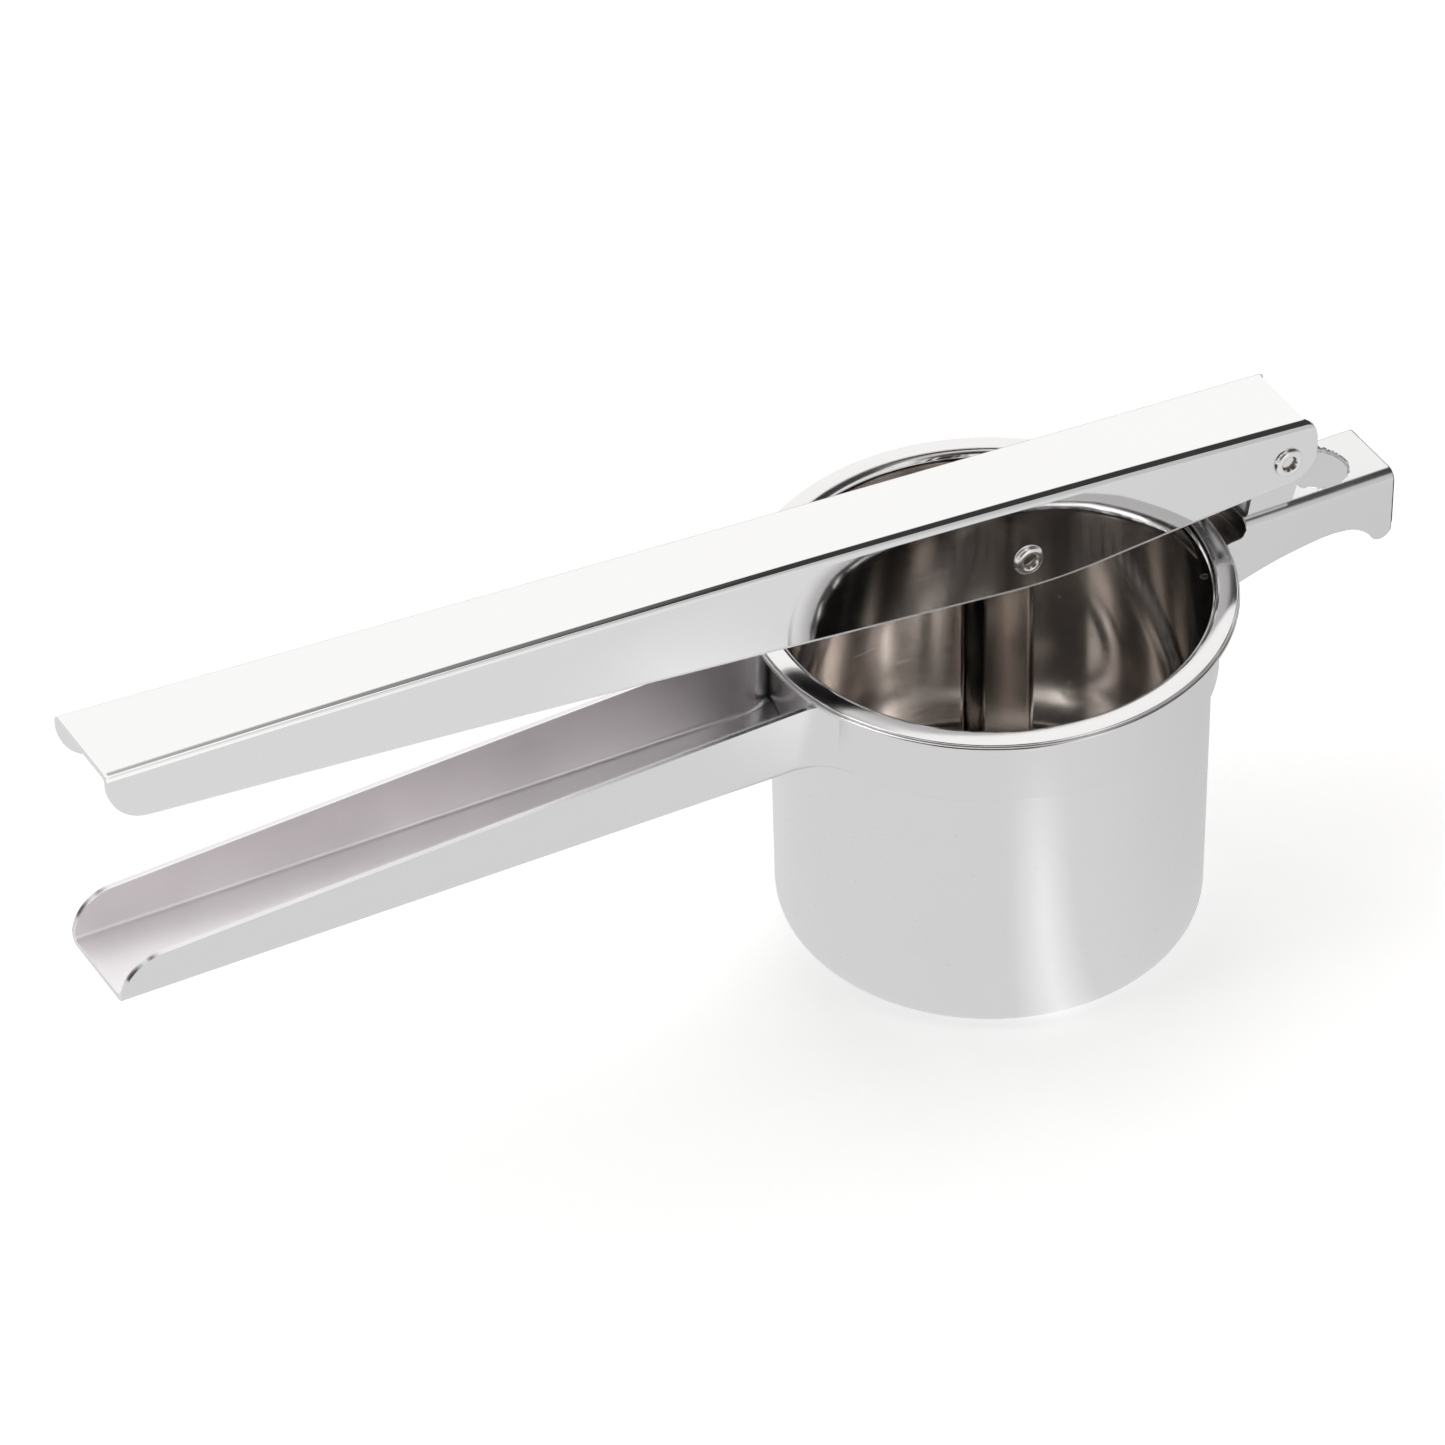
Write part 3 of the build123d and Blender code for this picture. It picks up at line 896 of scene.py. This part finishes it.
def bracket_neck_columns(under):
    """Bottom and top of the wall's columns from inside the collar to the web's front edge."""
    columns = []
    for foot, normal, t in reversed(flare_arc(1, bracket_half_width, 12)):
        bury = collar_bury * t * t
        x, y = foot[0] - normal[0] * bury, foot[1] - normal[1] * bury
        columns.append(((x, y, height_on(under, foot[0])), (x, y, bracket_shoulder)))
    for x, z in bracket_shoulder_steps:
        columns.append(((x, bracket_half_width, height_on(under, x)), (x, bracket_half_width, z)))
    return columns


def bracket_web_columns(under):
    """Bottom and top of the wall's columns under the web, to the end of the hook."""
    hook = circle_through(*hook_dip, 8) + circle_through(*hook_tip, 10)[1:]
    hook_start = hook_dip[0][0]
    stretch = (bracket_high[0] - hook_start) / (hook[-1][0] - hook_start)
    width = bracket_half_width
    columns = []
    for x in steps_between(bracket_front, hook_start, 3.0):
        low = (x, width, height_on(under + hook[:1], x))
        columns.append((low, (x, width, bracket_top(x) - bracket_bend)))
    for x, z in hook[1:]:
        x_top = hook_start + (x - hook_start) * stretch
        columns.append(((x, width, z), (x_top, width, bracket_top(x_top) - bracket_bend)))
    return columns


def column_points(bottom, top):
    """Evenly spaced points up one column of a wall."""
    points = []
    for k in range(wall_rows + 1):
        points.append(tuple(low + (high - low) * (k / wall_rows) for low, high in zip(bottom, top)))
    return points


def bracket_bend_row(x):
    """Points round the bend from the wall to the web at x."""
    centre = (bracket_inner, bracket_top(x) - bracket_bend)
    return [(x, y, z) for y, z in arc_points(centre, bracket_bend, 0, 90, 8)]


def bracket_web_row(x):
    """Points across the flat of the web at x."""
    return [(x, bracket_inner * (k / 4 - 1), bracket_top(x)) for k in range(9)]


def bracket_neck_rows(neck_columns):
    """Rows across the sheet step between the collar and the web's front edge."""
    half = bracket_half_width
    across = steps_between(-half, half, half / 12)
    rows = [[(x, y / half * width, z) for y in across] for _, (x, width, z) in neck_columns]
    bend = bracket_bend_row(bracket_front)
    rows.append(mirrored(bend, -1) + bracket_web_row(bracket_front)[1:-1] + bend[::-1])
    return rows


def make_bracket():
    under = bracket_underside()
    neck_columns = bracket_neck_columns(under)
    web_columns = bracket_web_columns(under)
    web_xs = [top[0] for _, top in web_columns]
    wall = [column_points(*column) for column in neck_columns + web_columns]
    bends = [bracket_bend_row(x) for x in web_xs]
    bm = bmesh.new()
    for side in (-1, 1):
        add_grid(bm, [mirrored(row, side) for row in wall])
        add_grid(bm, [mirrored(row, side) for row in bends])
    add_grid(bm, bracket_neck_rows(neck_columns))
    add_grid(bm, [bracket_web_row(x) for x in web_xs])
    weld(bm)
    face_away_from(bm, (68.0, 0, 66.0))
    hole_centre = (hang_hole_x, 0, bracket_top(hang_hole_x))
    hole = round_hole_cutter(hole_centre, hang_hole_radius, (bracket_slope, 0, 1))
    place = ("frame", "rear_bracket", "satin_steel")
    finish_piece("hang_bracket", bm, bracket_steel, place, sheet, bracket_edge_round, hole, clamp=False)


# ======================== rivets
def make_rivet(name, node, place):
    """Tubular rivet along Y: a domed ring at each end round a recess with a slightly domed floor."""
    low, high = box_mm(node)
    top = high[1]
    seat = top - rivet_seat_depth
    head = (high[0] - low[0]) / 2
    outline = [
        (0.0, seat - 0.8),
        (1.1, seat - 1.0),
        (1.3, seat + 0.15),
        (1.75, top - 0.1),
        (2.25, top),
        (2.9, top - 0.25),
        (head, seat + 0.12),
        (head, seat - 0.25),
        (rivet_shank_radius, seat - 0.25),
    ]
    half = rounded(outline, [0, 0.25, 0.3, 0.5, 0.8, 0.4, 0.15, 0.1, 0], steps=5)
    bm = bmesh.new()
    add_revolved(bm, half + [(r, -z) for r, z in reversed(half)], closed=False, count=64)
    turn = Matrix.Translation((place[0], 0, place[2])) @ Matrix.Rotation(math.pi / 2, 4, "X")
    bmesh.ops.transform(bm, matrix=turn, verts=bm.verts)
    finish_piece(name, bm, rivet_steel, ("handle", node, "rivet_steel"))


# ======================== plunger
def make_plate():
    low, top, radius = plate_low[2], plate_high[2], plate_high[0]
    inside = radius - plate_sheet
    foot_in, foot_out = plate_bead_radius - plate_bead_half_width, plate_bead_radius + plate_bead_half_width
    top_in, top_out = plate_bead_radius - plate_bead_half_top, plate_bead_radius + plate_bead_half_top
    raised = low + plate_bead_height
    under = [(0, low), (foot_in, low), (top_in, raised), (top_out, raised), (foot_out, low)]
    rim = [(radius, low), (radius, top), (inside, top), (inside, low + plate_sheet)]
    over = [(r, z + plate_sheet) for r, z in reversed(under)]
    bead_radii = [1.5] * 4
    radii = [0] + bead_radii + [1.8, 0.3, 0.3, 0.8] + bead_radii + [0]
    bm = bmesh.new()
    add_revolved(bm, rounded(under + rim + over, radii, steps=6), closed=False)
    finish_piece("press_plate", bm, plunger_steel, ("plunger", "plunger_plate", "plunger_steel"))


def stem_section():
    """Plan points round the C of the stem."""
    front, back = stem_low[0], stem_high[0]
    depth = stem_half_depth
    path = [(front, -depth), (back, -depth), (back, depth), (front, depth)]
    corners = rounded(path, [0, stem_bend, stem_bend, 0], steps=10)
    section = []
    for a, b in zip(corners, corners[1:]):
        count = max(1, round(math.dist(a, b) / 0.8))
        for k in range(count):
            section.append((a[0] + (b[0] - a[0]) * k / count, a[1] + (b[1] - a[1]) * k / count))
    return section + corners[-1:]


def make_stem():
    front, back = stem_low[0], stem_high[0]
    foot, steps = stem_low[2], stem_height_steps
    rows = []
    for x, y in stem_section():
        inset = max(stem_top_round - (x - front), stem_top_round - (back - x), 0.0)
        top = stem_high[2] - stem_top_round + math.sqrt(max(0.0, stem_top_round**2 - inset**2))
        rows.append([(x, y, foot + (top - foot) * k / steps) for k in range(steps + 1)])
    bm = bmesh.new()
    add_grid(bm, rows)
    weld(bm)
    face_away_from(bm, (0.0, 0, 45.0))
    hole = round_hole_cutter(plunger_pin, stem_hole_radius, (0, 1, 0), 4 * stem_half_depth)
    place = ("plunger", "plunger_stem", "plunger_steel")
    finish_piece("press_stem", bm, plunger_steel, place, stem_sheet, stem_edge_round, hole)


def make_feet():
    """The two flat feet that the stem's sheet turns out to, on the plate."""
    middle = (stem_low[0] + stem_high[0]) / 2
    left, right = middle - foot_length / 2, middle + foot_length / 2
    height = stem_low[2] + stem_sheet
    bm = bmesh.new()
    for side in (-1, 1):
        root = side * (stem_half_depth - stem_sheet)
        end = root + side * foot_width
        corners = [(left, root), (right, root), (right, end), (left, end)]
        outline = rounded(corners, [0.5, 0.5, 2.2, 2.2], closed=True)
        bm.faces.new([bm.verts.new((x, y, height)) for x, y in outline])
    weld(bm)
    face_away_from(bm, (0, 0, 0))
    place = ("plunger", "plunger_stem", "plunger_steel")
    finish_piece("stem_feet", bm, plunger_steel, place, stem_sheet, stem_edge_round)


make_basket()
make_collar()
make_upper_handle()
make_lower_handle()
make_bracket()
make_rivet("hinge_rivet", "pivot_rivet", pivot)
make_rivet("stem_rivet", "plunger_rivet", plunger_pin)
make_plate()
make_stem()
make_feet()

# The CAD nodes that are shown as they are.
carried_over = {
    "hinge_lugs": satin_steel,
    "plunger_spacers": plunger_steel,
    "plate_rivets": rivet_steel,
}
for node, material in carried_over.items():
    mesh = frame["nodes"][node].data
    mesh.materials.clear()
    mesh.materials.append(material)


# ======================== camera
camera_azimuth = -28.881
camera_elevation = 39.545
camera_roll = math.radians(-1.056)
camera_distance = 1.69481
camera_target = Vector((-0.044556, 0.025822, 0.042295))
focal_length = 219.016


def direction(azimuth, elevation):
    """Unit vector towards a viewer at that azimuth and elevation in degrees; azimuth 0 is at -Y."""
    a, e = math.radians(azimuth), math.radians(elevation)
    return Vector((math.sin(a) * math.cos(e), -math.cos(a) * math.cos(e), math.sin(e)))


def make_camera():
    back = direction(camera_azimuth, camera_elevation)
    right = Vector((-back.y, back.x, 0)).normalized()
    up = back.cross(right)
    across = right * math.cos(camera_roll) + up * math.sin(camera_roll)
    upward = up * math.cos(camera_roll) - right * math.sin(camera_roll)
    data = bpy.data.cameras.new("camera")
    data.sensor_width = 36.0
    data.lens = focal_length
    data.clip_start = 0.05
    data.clip_end = 20.0
    camera = bpy.data.objects.new("camera", data)
    turned = Matrix((across, upward, back)).transposed().to_4x4()
    camera.matrix_world = Matrix.Translation(camera_target + back * camera_distance) @ turned
    bpy.context.scene.collection.objects.link(camera)
    bpy.context.scene.camera = camera


# ======================== floor and light, in metres
floor_half_size = 3.0
floor_height = -0.0008
bounce_half_size = 0.9
bounce_height = -0.0004
flag_height = 0.75
side_card_y = -0.8
side_card_left, side_card_right, side_card_top = 0.20, 1.8, 1.05
upright_scale = 4.5
plain_azimuths = (camera_azimuth + 180.0, 24.0)
unlit_towards = direction(camera_azimuth - 8.0, 44.0)
studio_white = (1.0, 0.995, 0.985, 1)
studio_dark = (0.05, 0.042, 0.036, 1)


def make_floor():
    half = floor_half_size
    bm = bmesh.new()
    add_grid(bm, [[(-half, -half, 0), (half, -half, 0)], [(-half, half, 0), (half, half, 0)]])
    bmesh.ops.translate(bm, vec=(0, 0, floor_height), verts=bm.verts)
    floor = add_object("floor", bm)
    material = bpy.data.materials.new("pale_floor")
    material.use_nodes = True
    shader = material.node_tree.nodes["Principled BSDF"]
    shader.inputs["Base Color"].default_value = (0.93, 0.93, 0.93, 1)
    shader.inputs["Roughness"].default_value = 0.9
    shader.inputs["Specular IOR Level"].default_value = 0.0
    shader.inputs["Emission Color"].default_value = (1, 1, 1, 1)
    shader.inputs["Emission Strength"].default_value = 0.42
    floor.data.materials.append(material)


def make_world():
    """White all round, with soft uprights between lamps and an unlit part of the studio."""
    world = bpy.data.worlds.new("studio")
    world.use_nodes = True
    bpy.context.scene.world = world
    nodes = Nodes(world.node_tree)
    look = nodes.add("ShaderNodeTexCoord").outputs["Generated"]
    x, y, z = nodes.split(look)
    flat = nodes.add("ShaderNodeCombineXYZ", {0: x, 1: y}).outputs[0]
    around = nodes.add("ShaderNodeVectorMath", {0: flat}, operation="NORMALIZE").outputs[0]
    uprights = nodes.noise(around, upright_scale, detail=2.0, roughness=0.7)
    gaps = nodes.spread(uprights, 0.47, 0.53, 1.0, 0.0)
    gaps = nodes.math("MULTIPLY", gaps, nodes.spread(z, 0.80, 0.92, 1.0, 0.0))
    for azimuth in plain_azimuths:
        towards = nodes.dot(around, direction(azimuth, 0.0))
        gaps = nodes.math("MULTIPLY", gaps, nodes.spread(towards, 0.86, 0.95, 1.0, 0.0))
    unlit = nodes.spread(nodes.dot(look, unlit_towards), 0.74, 0.90, 0.0, 1.0)
    colour = nodes.mix(nodes.math("MAXIMUM", gaps, unlit), studio_white, studio_dark)
    light = nodes.add("ShaderNodeBackground", {"Color": colour, "Strength": 1.12})
    nodes.finish(light, "ShaderNodeOutputWorld")


def reflected_card(name, corners, material):
    """A flat sheet of the studio that only the steel's reflections show."""
    mesh = bpy.data.meshes.new(name)
    mesh.from_pydata(corners, [], [tuple(range(len(corners)))])
    mesh.materials.append(material)
    card = bpy.data.objects.new(name, mesh)
    bpy.context.scene.collection.objects.link(card)
    card.visible_camera = False
    card.visible_diffuse = False
    card.visible_shadow = False


def glow(name):
    """A material that gives light of its own, its nodes, and the emission that sets how much."""
    material = bpy.data.materials.new(name)
    material.use_nodes = True
    nodes = Nodes(material.node_tree)
    emission = nodes.add("ShaderNodeEmission")
    nodes.finish(emission)
    return material, nodes, emission


def make_flag():
    """Dark studio flag overhead, in front and to the right, that fades out to the left."""
    material, nodes, emission = glow("black_flag")
    emission.inputs["Color"].default_value = (1.0, 0.98, 0.965, 1)
    across, _, _ = nodes.split(nodes.place())
    nodes.tree.links.new(nodes.spread(across, 0.10, 0.33, 0.55, 0.045), emission.inputs["Strength"])
    corners = [(0.04, -0.02), (0.30, -0.45), (0.45, -0.58), (0.90, -0.90)]
    corners += [(1.60, -1.40), (1.60, 0.50), (0.34, 0.24), (0.06, 0.08)]
    reflected_card("flag", [(x, y, flag_height) for x, y in corners], material)


def make_side_card():
    """Grey card that stands in front on the right and fades to white at its left edge."""
    material, nodes, emission = glow("grey_side")
    across, _, _ = nodes.split(nodes.place())
    fade = nodes.spread(across, side_card_left, 0.46, 1.1, 0.60)
    nodes.tree.links.new(fade, emission.inputs["Strength"])
    low = [(side_card_left, side_card_y, 0.0), (side_card_right, side_card_y, 0.0)]
    high = [(side_card_right, side_card_y, side_card_top), (side_card_left, side_card_y, side_card_top)]
    reflected_card("side_card", low + high, material)


def make_bounce():
    """Pale grey card under the object, with a bright stripe in front and a darker right-hand side."""
    material, nodes, emission = glow("grey_bounce")
    place = nodes.place()
    x, y, _ = nodes.split(place)
    azimuth = nodes.math("ARCTAN2", x, nodes.math("MULTIPLY", y, -1.0))
    off_stripe = nodes.math("ABSOLUTE", nodes.math("SUBTRACT", azimuth, math.radians(-10.0)))
    stripe = nodes.spread(off_stripe, 0.0, math.radians(13.0), 0.28, 0.0)
    reach = nodes.add("ShaderNodeVectorMath", {0: place}, operation="LENGTH").outputs["Value"]
    stripe = nodes.math("MULTIPLY", stripe, nodes.spread(reach, 0.09, 0.125, 1.0, 0.0))
    fall = nodes.spread(azimuth, math.radians(10.0), math.radians(110.0), 0.0, -0.16)
    strength = nodes.math("ADD", nodes.math("ADD", stripe, fall), 0.80)
    nodes.tree.links.new(strength, emission.inputs["Strength"])
    half = bounce_half_size
    corners = [(-half, -half), (half, -half), (half, half), (-half, half)]
    reflected_card("bounce", [(x, y, bounce_height) for x, y in corners], material)


def make_light(name, azimuth, elevation, distance, size, power):
    """Square softbox that faces the object."""
    data = bpy.data.lights.new(name, "AREA")
    data.shape = "RECTANGLE"
    data.size = size
    data.size_y = size
    data.energy = power
    light = bpy.data.objects.new(name, data)
    towards = direction(azimuth, elevation)
    light.location = camera_target + towards * distance
    light.rotation_euler = towards.to_track_quat("Z", "Y").to_euler()
    bpy.context.scene.collection.objects.link(light)


make_floor()
make_camera()
make_world()
make_flag()
make_side_card()
make_bounce()
make_light("side_softbox", azimuth=-115.0, elevation=50.0, distance=1.8, size=1.2, power=6.0)
bpy.context.scene.view_settings.view_transform = "Standard"
